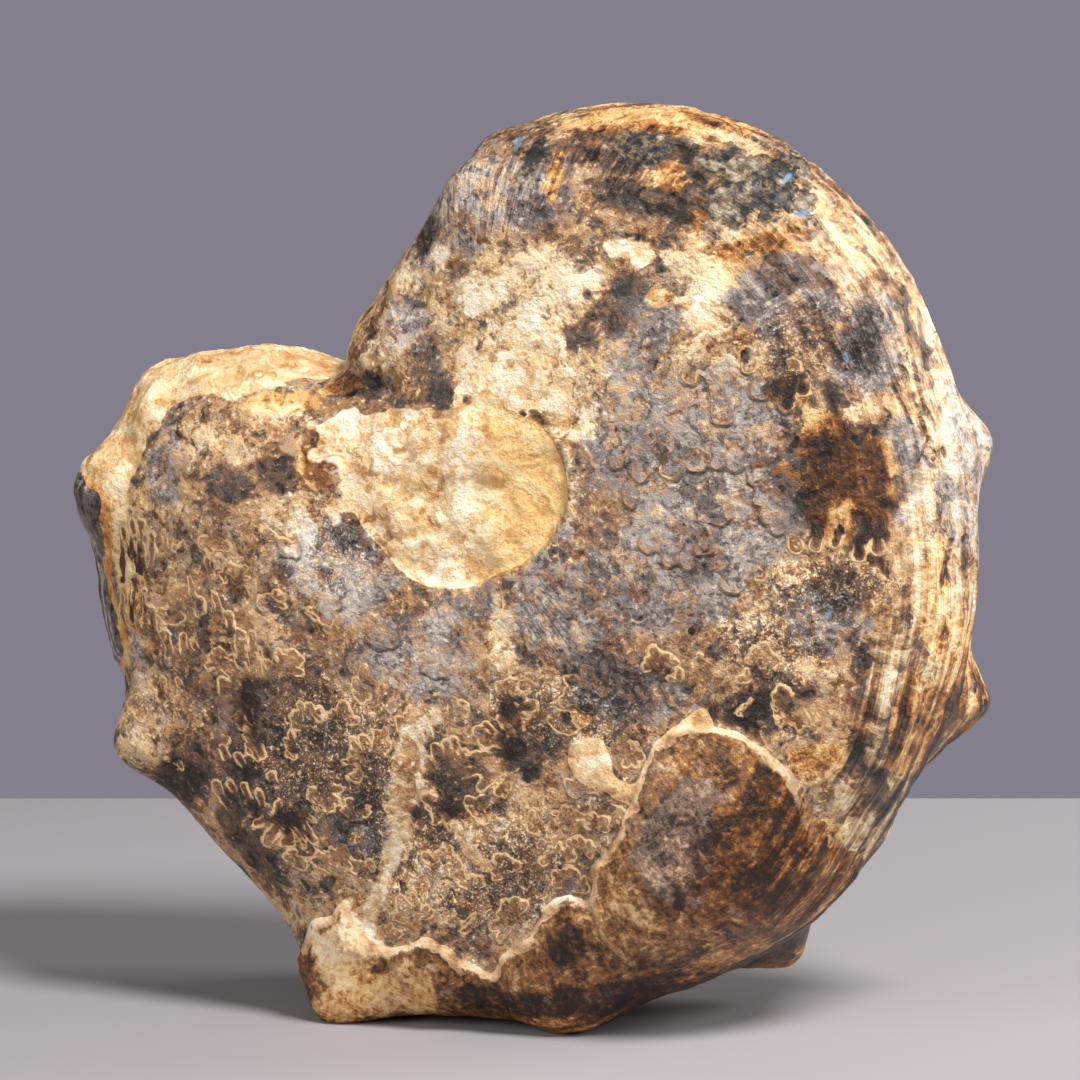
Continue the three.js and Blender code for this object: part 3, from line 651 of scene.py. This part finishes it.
def fossil_mesh(sizes):
    """The fossil's mesh, with its relief and the layers that its finishes read."""
    mesh, ball = ball_skin(sizes.cuts)
    form = Coil(sizes)
    places = form.skin(ball)
    middle = (places.max(0) + places.min(0)) / 2
    shift = np.array([-middle[0], -middle[1], -places[:, 2].min() - FOOT_DEPTH])
    places += shift
    fields = fields_of(places)
    coil = form.unrolled(places, shift)
    set_places(mesh, places)
    off = relief(places, fields, coil) * sizes.relief * smoothstep(0, 3, places[:, 2])
    places = places + normals(mesh) * off[:, None]
    places[:, 2] = np.maximum(places[:, 2], 0)
    places[:, :2] += ((LOW + HIGH) / 2 / MM)[:2]
    set_places(mesh, places)
    for name, values in fields.items():
        mesh.attributes.new(name, "FLOAT", "POINT").data.foreach_set("value", values)
    mesh.attributes.new("coil", "FLOAT_VECTOR", "POINT").data.foreach_set("vector", coil.ravel())
    mesh.shade_smooth()
    return mesh


class Socket:
    """A node's output that can be reckoned with: an operation on it adds a Math node."""

    def __init__(self, paint, link):
        self.paint, self.link = paint, link

    def also(self, output):
        """Another output of the same node."""
        return Socket(self.paint, self.link.node.outputs[output])

    def math(self, operation, *values):
        return self.paint.node("ShaderNodeMath", {"operation": operation}, values)

    def __add__(self, other):
        return self.math("ADD", self, other)

    def __sub__(self, other):
        return self.math("SUBTRACT", self, other)

    def __rsub__(self, other):
        return self.math("SUBTRACT", other, self)

    def __mul__(self, other):
        return self.math("MULTIPLY", self, other)

    __radd__ = __add__
    __rmul__ = __mul__

    def __abs__(self):
        return self.math("ABSOLUTE", self)

    def __or__(self, other):
        return self.math("MAXIMUM", self, other)

    def __and__(self, other):
        return self.math("MINIMUM", self, other)


class Paint:
    """Adds nodes to a material's tree. Lengths are in millimetres."""

    def __init__(self, tree):
        self.tree = tree
        self.layers = {}

    def node(self, kind, settings, inputs, output=0):
        """One node of a type, with its settings, then its sockets' values or links."""
        made = self.tree.nodes.new(kind)
        for name, value in settings.items():
            if name == "stops":
                set_stops(made.color_ramp, value)
            else:
                setattr(made, name, value)
        pairs = inputs.items() if isinstance(inputs, dict) else enumerate(inputs)
        for key, value in pairs:
            if isinstance(value, Socket):
                self.tree.links.new(value.link, made.inputs[key])
            else:
                made.inputs[key].default_value = value
        return Socket(self, made.outputs[output]) if made.outputs else None

    def layer(self, name, output="Fac"):
        """One of the layers that the mesh carries."""
        if name not in self.layers:
            self.layers[name] = self.node("ShaderNodeAttribute", {"attribute_name": name}, {}, output)
        return self.layers[name]

    def stretch(self, at, by):
        return self.node("ShaderNodeVectorMath", {"operation": "MULTIPLY"}, (at, by))

    def warp(self, at, size, reach):
        """Places pushed about by cloudy noise."""
        values = {"Vector": at, "Scale": 1 / size, "Detail": 1.0}
        cloud = self.node("ShaderNodeTexNoise", {}, values, "Color")
        push = self.node("ShaderNodeVectorMath", {"operation": "SUBTRACT"}, (cloud, (0.5, 0.5, 0.5)))
        push = self.stretch(push, (reach, reach, reach))
        return self.node("ShaderNodeVectorMath", {"operation": "ADD"}, (at, push))

    def cloud(self, at, size, detail, rough=0.55, flat=False):
        """Cloudy noise, about 0 on average."""
        settings = {"noise_dimensions": "2D" if flat else "3D"}
        values = {"Vector": at, "Scale": 1 / size, "Detail": detail, "Roughness": rough}
        return self.node("ShaderNodeTexNoise", settings, values, "Fac") - 0.5

    def step(self, value, low, high):
        """0 at low and 1 at high, or the other way round, with soft ends."""
        settings = {"interpolation_type": "SMOOTHSTEP"}
        return self.node("ShaderNodeMapRange", settings, {0: value, 1: low, 2: high})

    def line(self, value, at, width):
        """1 where a value is near another, fading over a width on each side."""
        return self.step(abs(value - at), width, 0.0)

    def ramp(self, value, stops):
        return self.node("ShaderNodeValToRGB", {"stops": stops}, {0: value}, "Color")

    def mix(self, share, first, second):
        return self.node("ShaderNodeMix", {"data_type": "RGBA"}, {0: share, 6: first, 7: second}, 2)

    def blend(self, share, first, second):
        return first + share * (second - first)


def set_stops(ramp, stops):
    """Gives a ramp its stops, as pairs of place and colour."""
    while len(ramp.elements) < len(stops):
        ramp.elements.new(1.0)
    for element, (place, colour) in zip(ramp.elements, stops):
        element.position, element.color = place, colour


def tone(red, green, blue):
    """A screen colour from 0 to 255, as the linear colour that a shader takes."""
    parts = [c / 255 for c in (red, green, blue)]
    return (*[p / 12.92 if p <= 0.04045 else ((p + 0.055) / 1.055) ** 2.4 for p in parts], 1.0)


# What each finish looks like from its darkest tone to its palest, in plates with thin lines between them.
WARM = (
    (0.0, tone(24, 19, 15)), (0.12, tone(44, 36, 30)), (0.2, tone(62, 52, 45)), (0.215, tone(75, 63, 55)),
    (0.3, tone(90, 76, 66)), (0.37, tone(104, 88, 76)), (0.38, tone(66, 48, 34)), (0.392, tone(128, 104, 83)),
    (0.47, tone(144, 119, 95)), (0.485, tone(156, 108, 62)), (0.5, tone(168, 140, 112)),
    (0.58, tone(184, 156, 127)), (0.592, tone(158, 116, 72)), (0.605, tone(204, 174, 138)),
    (0.7, tone(217, 189, 152)), (0.715, tone(230, 207, 172)), (0.85, tone(240, 221, 192)),
    (1.0, tone(250, 238, 218)),
)
COOL = (
    (0.0, tone(30, 26, 24)), (0.14, tone(50, 44, 41)), (0.24, tone(72, 64, 60)), (0.25, tone(90, 80, 75)),
    (0.36, tone(107, 96, 90)), (0.42, tone(119, 107, 101)), (0.43, tone(78, 66, 57)),
    (0.44, tone(132, 119, 112)), (0.53, tone(147, 134, 126)), (0.54, tone(162, 149, 140)),
    (0.66, tone(177, 164, 154)), (0.68, tone(194, 179, 165)), (0.85, tone(216, 203, 189)),
    (1.0, tone(238, 229, 217)),
)
AMBER = (
    (0.0, tone(52, 28, 10)), (0.25, tone(108, 65, 28)), (0.45, tone(170, 105, 46)),
    (0.62, tone(214, 158, 92)), (0.78, tone(238, 194, 128)), (1.0, tone(248, 222, 170)),
)
OCHRE = (
    (0.0, tone(84, 60, 42)), (0.2, tone(132, 98, 68)), (0.36, tone(176, 134, 95)),
    (0.48, tone(205, 165, 122)), (0.6, tone(224, 188, 144)), (0.72, tone(236, 208, 169)),
    (0.86, tone(244, 227, 200)), (1.0, tone(250, 241, 226)),
)
NACRE = (
    (0.0, tone(24, 13, 5)), (0.14, tone(52, 31, 12)), (0.24, tone(78, 49, 22)), (0.25, tone(96, 62, 32)),
    (0.38, tone(120, 82, 47)), (0.48, tone(144, 102, 60)), (0.49, tone(162, 119, 76)),
    (0.6, tone(182, 141, 95)), (0.61, tone(202, 163, 114)), (0.72, tone(217, 181, 134)),
    (0.86, tone(237, 209, 166)), (1.0, tone(248, 230, 200)),
)
MINERAL = (
    (0.0, tone(22, 21, 21)), (0.26, tone(42, 39, 38)), (0.4, tone(62, 59, 58)), (0.48, tone(88, 80, 70)),
    (0.53, tone(150, 110, 64)), (0.57, tone(100, 94, 86)), (0.7, tone(160, 148, 126)),
    (1.0, tone(210, 190, 160)),
)


# Sizes of the stone's grain, in millimetres; CRYSTAL is the size of the painted crystal glints.
GRIT, MOTTLE, FLAKE, CRYSTAL = 1.1, 4.4, 3.4, 0.42


class Grain(NamedTuple):
    """Noises that the finishes share, each about 0 on average, and what is drawn from them."""

    grit: Socket
    mottle: Socket
    flake: Socket
    tint: Socket
    fibre: Socket
    ridge: Socket
    streak: Socket
    torn: Socket
    crack: Socket


class Finishes(NamedTuple):
    """Where each finish shows, from 0 to 1."""

    shell: Socket
    fill: Socket
    crust: Socket
    plaster: Socket
    vein: Socket
    chalked: Socket
    ochre: Socket
    bare: Socket
    cool: Socket
    cut: Socket


class Sutures(NamedTuple):
    """Where each part of the sutures shows, from 0 to 1."""

    inside: Socket
    core: Socket
    rust: Socket
    rim: Socket
    shade: Socket
    lit: Socket


def grain_of(paint, place, coil):
    """The shared noises, from places in the stone and along the coil."""
    settings = {"rotation_type": "AXIS_ANGLE"}
    values = {"Vector": place, "Axis": (1, 0.6, -0.4), "Angle": 0.9}
    turned = paint.node("ShaderNodeVectorRotate", settings, values)
    grit = paint.cloud(turned, GRIT, 4.0, 0.7)
    mottle = paint.cloud(paint.warp(turned, 7, 5), MOTTLE, 2.0, 0.55)
    push = paint.node("ShaderNodeVectorMath", {"operation": "SCALE"}, {0: (9, 8, -9), "Scale": mottle})
    pushed = paint.node("ShaderNodeVectorMath", {"operation": "ADD"}, (place, push))
    values = {"Vector": pushed, "Scale": 1 / FLAKE, "Detail": 1.0, "Roughness": 0.8}
    cells = paint.node("ShaderNodeTexVoronoi", {"feature": "F1"}, values, "Color")
    red = paint.node("ShaderNodeSeparateXYZ", {}, (cells,), 0)
    flake = red - 0.5
    return Grain(
        grit=grit,
        mottle=mottle,
        flake=flake,
        tint=red.also(1) - 0.5,
        fibre=paint.cloud(paint.stretch(coil, (1.1, 0.1, 0)), 1, 3.0, 0.75, flat=True),
        ridge=paint.cloud(paint.stretch(coil, (0.04, 0.5, 0)), 1, 3.0, 0.62, flat=True),
        streak=paint.cloud(paint.stretch(coil, (0.08, 0.55, 0)), 1, 3.0, 0.7, flat=True),
        torn=mottle * 1.6 + flake * 0.3,
        crack=paint.line(mottle + grit * 0.3 + flake * 0.05, 0.03, 0.016),
    )


def finishes_of(paint, grain):
    """The finishes' shares, with edges that the grain breaks up."""
    grit, mottle, flake = grain.grit, grain.mottle, grain.flake
    shell = paint.step(paint.layer("shell") + mottle * 1.6, -0.05, 0.08)
    fill = paint.step(paint.layer("fill") + mottle * 0.5, -0.05, 0.12)
    crust = paint.step(paint.layer("crust") + mottle * 4, -0.1, 0.4)
    plaster = paint.step(paint.layer("plaster") + mottle * 1.2, -0.05, 0.12)
    vein = paint.step(paint.layer("vein") + mottle * 1.6 + grit * 0.8, -0.1, 0.4) * (1 - shell)
    chalked = paint.step(paint.layer("chalk") * (0.7 + mottle * 1.8 + flake * 0.6), 0.45, 0.6) * (1 - shell)
    ochre = fill | crust | plaster | vein | chalked
    return Finishes(
        shell=shell,
        fill=fill,
        crust=crust,
        plaster=plaster,
        vein=vein,
        chalked=chalked,
        ochre=ochre,
        bare=1 - (shell | ochre),
        cool=paint.step(paint.layer("cool") + grain.torn, 0.36, 0.64),
        # cut: the keel's grooves, whose colour is darkened as painted shade.
        cut=paint.step(paint.layer("groove") + mottle * 0.5, 0.45, 0.1),
    )


def sutures_of(paint, grain, bare):
    """The sutures' lobes, on bare stone away from the ridged keel."""
    lobed = bare * paint.step(paint.layer("band"), 0.7, 0.3)
    edge = paint.layer("suture") + grain.mottle * 2.0
    inside = paint.step(edge, -0.1, 0.1) * lobed
    tips = paint.step(paint.layer("tip") + grain.mottle * 1.5, 0.3, 0.7)
    lit = paint.step(grain.mottle + grain.grit * 0.6, -0.14, 0.08)
    return Sutures(
        inside=inside,
        core=paint.step(edge, 0.6, 2.2) * inside,
        rust=paint.step(edge, 1.0, 0.15) * inside * (0.06 + tips * 0.94),
        rim=paint.step(abs(edge - 0.12) + grain.grit * 1.2 - lit * 0.08, 0.22, 0.08) * lobed * tips,
        shade=paint.line(edge, -0.3, 0.42) * lobed,
        lit=lit,
    )


def stone_value(paint, place, grain, finishes, sutures):
    """How pale the bare stone is: speckled, with painted glints, cracked, ridged along the keel, and darker in
    its grooves as painted shade.
    """
    grit, mottle, flake = grain.grit, grain.mottle, grain.flake
    cool, inside = finishes.cool, sutures.inside
    pale, speckled = paint.layer("tone"), paint.layer("speckle")
    # The first specks are pale grains of the stone; the palest grit dots and the speckled zones' crystals are
    # painted glints.
    crystal_glints = paint.step(paint.cloud(place, CRYSTAL, 1.0, 0.5), 0.08, 0.12)
    specks_and_glints = paint.step(grit, 0.06, 0.085) * (0.07 + speckled * 0.1) + paint.step(grit, 0.12, 0.15) * 0.2
    specks_and_glints = specks_and_glints + crystal_glints * speckled * 0.26
    pit = paint.step(grit, -0.07, -0.11) * 0.1
    value = (mottle * (1.0 - cool * 0.35) + flake * 0.26 + grit * 0.7 & 0.13) * (0.7 + pale * 0.6)
    value = value + pale - inside * paint.layer("amber") * 0.55 + specks_and_glints - grain.crack * 0.16 - pit
    value = value + grain.fibre * paint.layer("silk") * 1.1
    value = value - inside * (0.05 - cool * 0.03) - sutures.core * (0.05 - cool * 0.05)
    banded = pale + grain.ridge * 1.5 + grit * 0.5 + mottle * 0.8 + flake * 0.24
    # The stone is darker in the keel's grooves: painted shade.
    return paint.blend(paint.layer("band"), value, banded) - finishes.cut * 0.24


def stone_colour(paint, grain, finishes, value, stained):
    """The bare stone, warm or cool, with its amber stains."""
    colour = paint.mix(finishes.cool, paint.ramp(value, WARM), paint.ramp(value, COOL))
    patch = paint.step(grain.tint + grain.mottle * 0.4 - finishes.cool * 0.2, 0.3, 0.36)
    patch = patch * (paint.layer("tone") * 0.9 & 0.4)
    colour = paint.mix(patch, colour, paint.ramp(value + 0.08, AMBER))
    return paint.mix(stained * 0.8, colour, paint.ramp(value * 1.3 + 0.03, AMBER))


def suture_colour(paint, grain, finishes, sutures, tones, colour):
    """The stone with the sutures' rusty tips, gold edges and thin dark lines."""
    cool = finishes.cool
    lobe = paint.mix(paint.step(grain.mottle + grain.flake * 0.15, -0.08, 0.12), tones.rust, tones.tan)
    colour = paint.mix(sutures.rust * (0.85 - cool * 0.6), colour, lobe)
    rim = sutures.rim * (0.6 + sutures.lit * 0.4 - cool * 0.5)
    colour = paint.mix(rim, colour, paint.mix(cool, tones.gold, tones.tan))
    # The dark line round the lobes is the sutures' own thin line, and in the cool stone also painted shade
    # below each lobe's lower edge.
    return paint.mix(sutures.shade * (0.2 + paint.layer("under") * cool * 0.7), colour, tones.line)


def mineral_colour(paint, grain, finishes, tones, colour):
    """The stone with its dark mineral, blue flecks and the slab at the left edge."""
    grit, mottle = grain.grit, grain.mottle
    mineral = paint.step(paint.layer("mineral") + grain.torn * 1.6, 0.0, 0.1) * finishes.bare
    speckled = paint.ramp(0.3 + mottle * 1.2 + grain.flake * 0.25 + grit * 1.2, MINERAL)
    colour = paint.mix(mineral, colour, speckled)
    fleck = paint.step(paint.layer("blue") + grain.torn + grit, 0.25, 0.55) * 0.6
    colour = paint.mix(fleck, colour, tones.blue)
    slab = paint.step(paint.layer("slab") + mottle * 1.4, -0.05, 0.1)
    strip = paint.step(paint.layer("slab") + mottle * 2, -1.7, -1.4) * (1 - slab)
    colour = paint.mix(strip, colour, paint.ramp(0.6 + mottle + grit * 0.8, AMBER))
    return paint.mix(slab, colour, paint.ramp(0.36 + grain.ridge * 1.2 + grit * 0.8 + mottle * 0.8, COOL))


def shell_colour(paint, grain, finishes, stained):
    """The shell, with its pale broken edge and seams."""
    grit, mottle, rough = grain.grit, grain.mottle, paint.layer("rough")
    value = paint.layer("tone") + mottle * 0.6 + grain.flake * 0.14 + grain.fibre * (0.38 - rough * 0.16)
    value = value + grain.streak * rough * 1.5 + grit * 1.2 + grain.crack * 0.09 - rough * 0.12 - 0.12
    burnt = paint.step(grain.tint + mottle * 0.5 + rough * 0.16, 0.2, 0.3) * (0.25 + rough * 0.5)
    burnt = stained * 0.75 | burnt | rough * 0.6
    colour = paint.mix(burnt, paint.ramp(value, NACRE), paint.ramp(value + 0.06, AMBER))
    colour = paint.mix(finishes.cool * 0.6, colour, paint.ramp(value - 0.02, COOL))
    lip = paint.step(paint.layer("shell") + mottle * 5 + grain.flake * 0.6, 1.7, 1.2) * paint.layer("lip")
    lip = lip | paint.step(paint.layer("seam") + mottle * 3 + grit * 3, 0.4, 0.0) * 0.7
    return paint.mix(lip, colour, paint.ramp(0.6 + mottle * 1.6 + grit * 0.4, OCHRE))


def matrix_colour(paint, grain, finishes):
    """The chalky matrix in the umbilicus, on the broken end, in the vein and in the plaster-like fillings."""
    grit, mottle, tint = grain.grit, grain.mottle, grain.tint
    fill, crust, plaster, vein = finishes.fill, finishes.crust, finishes.plaster, finishes.vein
    rich = paint.layer("rich") * fill
    value = 0.6 + mottle * (1.5 - rich * 1.0 - vein * 0.5 - crust * 0.5) + grit * 0.5
    value = value + grain.flake * (0.34 - rich * 0.26 - plaster * 0.2 - crust * 0.12)
    # A painted shadow line just inside the umbilicus's right rim, where the rim overhangs the golden matrix.
    value = value - paint.line(paint.layer("fill"), 0.1, 0.4) * rich * 0.3
    # The chalk is darker in the keel's grooves: painted shade.
    value = value + finishes.chalked * (0.1 - finishes.cut * 0.5) - grain.crack * (0.22 - plaster * 0.2)
    value = value - vein * 0.06 + rich * 0.1 - crust * 0.03 - plaster * 0.04
    swirl = paint.line(mottle + grit * 0.15, 0.07, 0.05) * (finishes.chalked | fill) * (0.55 - vein * 0.5)
    golden = paint.step(tint + mottle - vein * 0.4, 0.22, 0.3) * (0.5 - plaster * 0.5)
    golden = rich | crust * 0.5 | plaster * 0.35 | swirl | golden
    return paint.mix(golden, paint.ramp(value, OCHRE), paint.ramp(value - rich * 0.05 + 0.12, AMBER))


def surface_height(paint, grain, finishes, sutures):
    """The finest relief, in millimetres."""
    shell = finishes.shell
    height = grain.mottle * (1.6 - shell * 0.9)
    height = height + grain.grit * (0.9 - shell * 0.4) + grain.fibre * (0.05 + paint.layer("silk") * 0.3)
    height = height + grain.ridge * paint.layer("band") * 2.8
    return height + (sutures.inside * 0.24 + sutures.rim * 0.08) - finishes.cut * 0.4


def fossil_material(tones):
    """The fossil's stone: one tone all over, read by the ramp of each finish."""
    made = bpy.data.materials.new("fossil_stone")
    made.use_nodes = True
    made.node_tree.nodes.clear()
    paint = Paint(made.node_tree)
    own = paint.node("ShaderNodeTexCoord", {}, {}, "Object")
    place = paint.stretch(own, (1 / MM, 1 / MM, 1 / MM))
    grain = grain_of(paint, place, paint.layer("coil", "Vector"))
    finishes = finishes_of(paint, grain)
    sutures = sutures_of(paint, grain, finishes.bare)

    value = stone_value(paint, place, grain, finishes, sutures)
    stain = paint.layer("amber") + grain.mottle * 1.8 + grain.flake * 0.4
    stained = paint.step(stain, 0.42, 0.88) * (1 - sutures.inside * 0.8)
    colour = stone_colour(paint, grain, finishes, value, stained)
    colour = suture_colour(paint, grain, finishes, sutures, tones, colour)
    colour = mineral_colour(paint, grain, finishes, tones, colour)
    colour = paint.mix(finishes.shell, colour, shell_colour(paint, grain, finishes, stained))
    matrix = finishes.ochre * (1 - finishes.vein * 0.25)
    colour = paint.mix(matrix, colour, matrix_colour(paint, grain, finishes))

    glossy = finishes.shell * (0.2 - paint.layer("rough") * 0.1)
    glossy = glossy + finishes.bare * (0.2 - value * 0.25 | 0.0)
    rough = 0.46 + grain.grit * 0.5 + finishes.ochre * 0.3 - glossy * 0.5
    height = surface_height(paint, grain, finishes, sutures)
    bump = paint.node("ShaderNodeBump", {}, {"Strength": 1.0, "Distance": MM, "Height": height})
    shader = paint.node(
        "ShaderNodeBsdfPrincipled", {},
        {"Base Color": colour, "Roughness": rough, "Specular IOR Level": 0.3, "Coat Weight": glossy,
         "Coat Roughness": 0.15, "Normal": bump},
    )
    paint.node("ShaderNodeOutputMaterial", {}, {"Surface": shader})
    return made


def colour_property(name, description, colour):
    return FloatVectorProperty(
        name=name, description=description, default=colour, size=4, min=0, max=1, subtype="COLOR"
    )


def length_property(name, description, default):
    return FloatProperty(name=name, description=description, default=default, min=0, unit="LENGTH")


class FossilSizes(bpy.types.PropertyGroup):
    half_thickness: length_property("Half thickness", "Coiling plane to the flank, in the middle", 26 * MM)
    mean_radius: length_property("Mean radius", "Middle of the outline to the keel", 74 * MM)
    relief: FloatProperty(
        name="Relief", description="Share of the full surface relief", default=1, min=0, max=2
    )
    cuts: IntProperty(
        name="Cuts", description="Cuts along each side of the starting cube", default=127, min=8
    )


class FossilColours(bpy.types.PropertyGroup):
    gold: colour_property("Gold", "Edges of the sutures", tone(234, 196, 146))
    rust: colour_property("Rust", "Brown that fades in from the sutures", tone(140, 88, 44))
    tan: colour_property("Tan", "Paler parts of the sutures' lobes", tone(166, 122, 80))
    # Line is also the colour of the painted shade below the lobes.
    line: colour_property("Line", "Thin dark lines around the lobes", tone(50, 38, 31))
    blue: colour_property("Blue", "Iridescent flecks", tone(120, 156, 190))


class StageSizes(bpy.types.PropertyGroup):
    azimuth: FloatProperty(
        name="Azimuth", description="Camera's bearing", default=math.radians(18), subtype="ANGLE"
    )
    elevation: FloatProperty(
        name="Elevation", description="Camera's height", default=math.radians(5), subtype="ANGLE"
    )
    distance: length_property("Distance", "Camera to the fossil's middle", 0.62)
    floor: colour_property("Floor", "The floor's colour", tone(160, 156, 160))
    wall: colour_property("Wall", "What is behind the floor", tone(131, 127, 140))
    glow: colour_property("Glow", "The room's own light on the fossil", tone(100, 98, 98))


class AMMONITE_OT_fossil(bpy.types.Operator):
    """Make the ammonite: the coil with its umbilicus, tubercles, shell and broken end"""

    bl_idname = "ammonite.fossil"
    bl_label = "Ammonite"

    def execute(self, context):
        mesh = fossil_mesh(context.scene.fossil_sizes)
        mesh.materials.append(fossil_material(context.scene.fossil_colours))
        piece = bpy.data.objects.new("ammonite_fossil", mesh)
        context.scene.collection.objects.link(piece)
        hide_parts("ammonite")
        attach(piece, "root")
        return {"FINISHED"}


# The stage, in metres and watts. Lights: name, place from the fossil's middle, width, power and colour.
FLOOR_SPREAD = (1.4, 0.8, 1)
FLOOR_MIDDLE = (0, -0.57, 0)
LIGHTS = (
    ("key", (0.35, -0.45, 0.75), 0.3, 13, (1, 0.99, 0.975)),
    ("side", (0.75, 0.15, 0.25), 0.4, 4.5, (1, 0.99, 0.97)),
    ("fill", (-0.6, -0.6, 0.3), 0.6, 3.5, (1, 1, 1)),
)
LENS = 120  # the camera's focal length, in millimetres
AIM = (0.0014, 0, 0.0038)  # from the fossil's middle to the middle of the picture


def aimed(name, data, place, target):
    """An object in the scene that looks at a place."""
    made = bpy.data.objects.new(name, data)
    made.location = place
    made.rotation_euler = (Vector(target) - Vector(place)).to_track_quat("-Z", "Y").to_euler()
    bpy.context.scene.collection.objects.link(made)
    return made


def soft_light(name, place, target, size, power, colour):
    lamp = bpy.data.lights.new(name, "AREA")
    lamp.shape, lamp.size, lamp.energy, lamp.color = "DISK", size, power, colour
    return aimed(name, lamp, place, target)


def floor_material(colour):
    made = bpy.data.materials.new("floor")
    made.use_nodes = True
    shader = made.node_tree.nodes["Principled BSDF"]
    shader.inputs["Base Color"].default_value = colour
    shader.inputs["Roughness"].default_value = 0.7
    return made


def floor_piece(colour, turn):
    """The floor, turned with the camera so that its far edge stays level."""
    shape = bmesh.new()
    bmesh.ops.create_grid(shape, x_segments=1, y_segments=1, size=1)
    bmesh.ops.scale(shape, verts=shape.verts, vec=FLOOR_SPREAD)
    bmesh.ops.translate(shape, verts=shape.verts, vec=FLOOR_MIDDLE)
    bmesh.ops.transform(shape, verts=shape.verts, matrix=turn)
    mesh = bpy.data.meshes.new("floor")
    shape.to_mesh(mesh)
    shape.free()
    mesh.materials.append(floor_material(colour))
    return bpy.data.objects.new("floor", mesh)


def room_world(glow, wall):
    """The room: what lights the fossil from all round, and what the camera sees behind it."""
    made = bpy.data.worlds.new("room")
    made.use_nodes = True
    made.node_tree.nodes.clear()
    room = Paint(made.node_tree)
    seen = room.node("ShaderNodeLightPath", {}, {}, "Is Camera Ray")
    glow = room.node("ShaderNodeBackground", {}, {"Color": glow})
    wall = room.node("ShaderNodeBackground", {}, {"Color": wall})
    both = room.node("ShaderNodeMixShader", {}, (seen, glow, wall))
    room.node("ShaderNodeOutputWorld", {}, {"Surface": both})
    return made


class AMMONITE_OT_stage(bpy.types.Operator):
    """Make the stage: a pale floor with a wall's colour behind it, soft lights and the camera"""

    bl_idname = "ammonite.stage"
    bl_label = "Stage"

    def execute(self, context):
        scene, stage = context.scene, context.scene.stage_sizes
        middle = (LOW + HIGH) / 2
        turn = Matrix.Rotation(stage.azimuth, 4, "Z")
        floor = floor_piece(stage.floor, turn)
        scene.collection.objects.link(floor)
        scene.world = room_world(stage.glow, stage.wall)
        for name, place, size, power, colour in LIGHTS:
            soft_light(name, middle + turn @ Vector(place), middle, size, power, colour)

        lens = bpy.data.cameras.new("camera")
        lens.lens = LENS
        away = math.cos(stage.elevation) * stage.distance
        back = turn @ Vector((0, -away, math.sin(stage.elevation) * stage.distance))
        target = middle + Vector(AIM)
        scene.camera = aimed("camera", lens, target + back, target)
        scene.view_settings.view_transform = "Standard"
        return {"FINISHED"}


class AMMONITE_PT_panel(bpy.types.Panel):
    bl_idname = "AMMONITE_PT_panel"
    bl_label = "Ammonite"
    bl_space_type = "VIEW_3D"
    bl_region_type = "UI"
    bl_category = "Ammonite"

    def draw(self, context):
        scene = context.scene
        for group in (scene.fossil_sizes, scene.fossil_colours, scene.stage_sizes):
            box = self.layout.box()
            for name in group.__annotations__:
                box.prop(group, name)
        self.layout.operator(AMMONITE_OT_fossil.bl_idname)
        self.layout.operator(AMMONITE_OT_stage.bl_idname)


CLASSES = (
    FossilSizes, FossilColours, StageSizes, AMMONITE_OT_fossil, AMMONITE_OT_stage, AMMONITE_PT_panel,
)


def register():
    for made in CLASSES:
        bpy.utils.register_class(made)
    bpy.types.Scene.fossil_sizes = PointerProperty(type=FossilSizes)
    bpy.types.Scene.fossil_colours = PointerProperty(type=FossilColours)
    bpy.types.Scene.stage_sizes = PointerProperty(type=StageSizes)


def unregister():
    del bpy.types.Scene.stage_sizes
    del bpy.types.Scene.fossil_colours
    del bpy.types.Scene.fossil_sizes
    for made in reversed(CLASSES):
        bpy.utils.unregister_class(made)


def main():
    register()
    bpy.ops.ammonite.fossil()
    bpy.ops.ammonite.stage()


if __name__ == "__main__":
    main()
